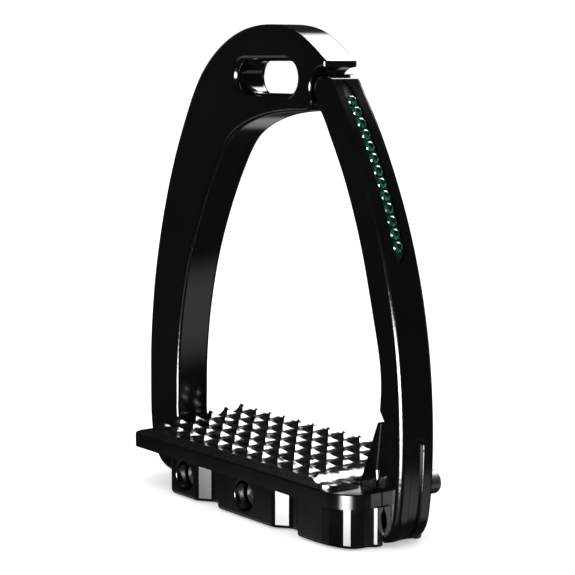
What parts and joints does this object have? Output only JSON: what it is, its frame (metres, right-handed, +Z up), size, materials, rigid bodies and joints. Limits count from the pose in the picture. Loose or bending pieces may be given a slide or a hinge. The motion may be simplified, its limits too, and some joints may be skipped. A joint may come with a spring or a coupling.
{
  "type": "safety stirrup iron",
  "caption": "Safety stirrup iron with an arched frame, a leather slot, a toothed sloping footbed and a spring-loaded hinged outer arm that swings open to free the foot.",
  "frame": {"origin": "middle of the footbed in plan, on the lowest face of the base", "axes": "+Z up to the top of the arch, +X towards the hinged outer arm, -Y towards the side the bolt heads are on, where the tread is lowest"},
  "size_m": [0.1468, 0.044, 0.166],
  "materials": {
    "frame_lacquer": "gloss black lacquer over cast and machined aluminium",
    "base_lacquer": "gloss black lacquer",
    "plate_anodised": "satin to gloss black anodised plate",
    "tread_metal": "dark polished metal, bright on the tooth flanks",
    "screw_steel": "zinc-plated steel",
    "bolt_black": "black oxide steel",
    "bush_bronze": "sintered bronze",
    "shim_polymer": "white acetal",
    "buffer_rubber": "black elastomer",
    "arm_lacquer": "gloss black lacquer over aluminium",
    "hinge_screw_dark": "dark steel, satin",
    "tray_dark": "dark anodised strip",
    "crystal_green": "faceted emerald-green stones",
    "plunger_steel": "polished stainless steel",
    "spring_steel": "spring steel wire"
  },
  "bodies": {
    "frame_body": {"arch_frame": "frame_lacquer", "footbed_housing": "base_lacquer", "footbed_plate": "plate_anodised", "tread_insert": "tread_metal", "plate_screws": "screw_steel", "tread_screws": "screw_steel", "footbed_bolts": "bolt_black", "footbed_washers": "screw_steel", "footbed_nuts": "screw_steel", "hinge_bush": "bush_bronze", "hinge_shims": "shim_polymer", "plunger_guide": "bush_bronze", "spring_seat": "screw_steel", "seat_buffer": "buffer_rubber", "plunger_spring": "spring_steel"},
    "arm_body": {"release_arm": "arm_lacquer", "hinge_screw": "hinge_screw_dark", "hinge_washer": "hinge_screw_dark", "crystal_tray": "tray_dark", "crystals": "crystal_green"},
    "plunger_body": {"plunger": "plunger_steel"}
  },
  "joints": [
    {"name": "arm_hinge", "type": "hinge", "parent": "frame_body", "child": "arm_body", "pos_m": [0.0668, 0, 0.019], "axis": [0, 1, 0], "range_deg": [0, 36], "stiffness_Nm_per_rad": 0.24, "springref_deg": -25.78},
    {"name": "plunger_slide", "type": "slide", "parent": "frame_body", "child": "plunger_body", "axis": [1, 0, 0], "range_m": [-0.0113, 0], "deforming": ["plunger_spring"]}
  ],
  "couplings": [
    {"joint": "plunger_slide", "follows": "arm_hinge", "m_per_rad": -0.0179}
  ]
}
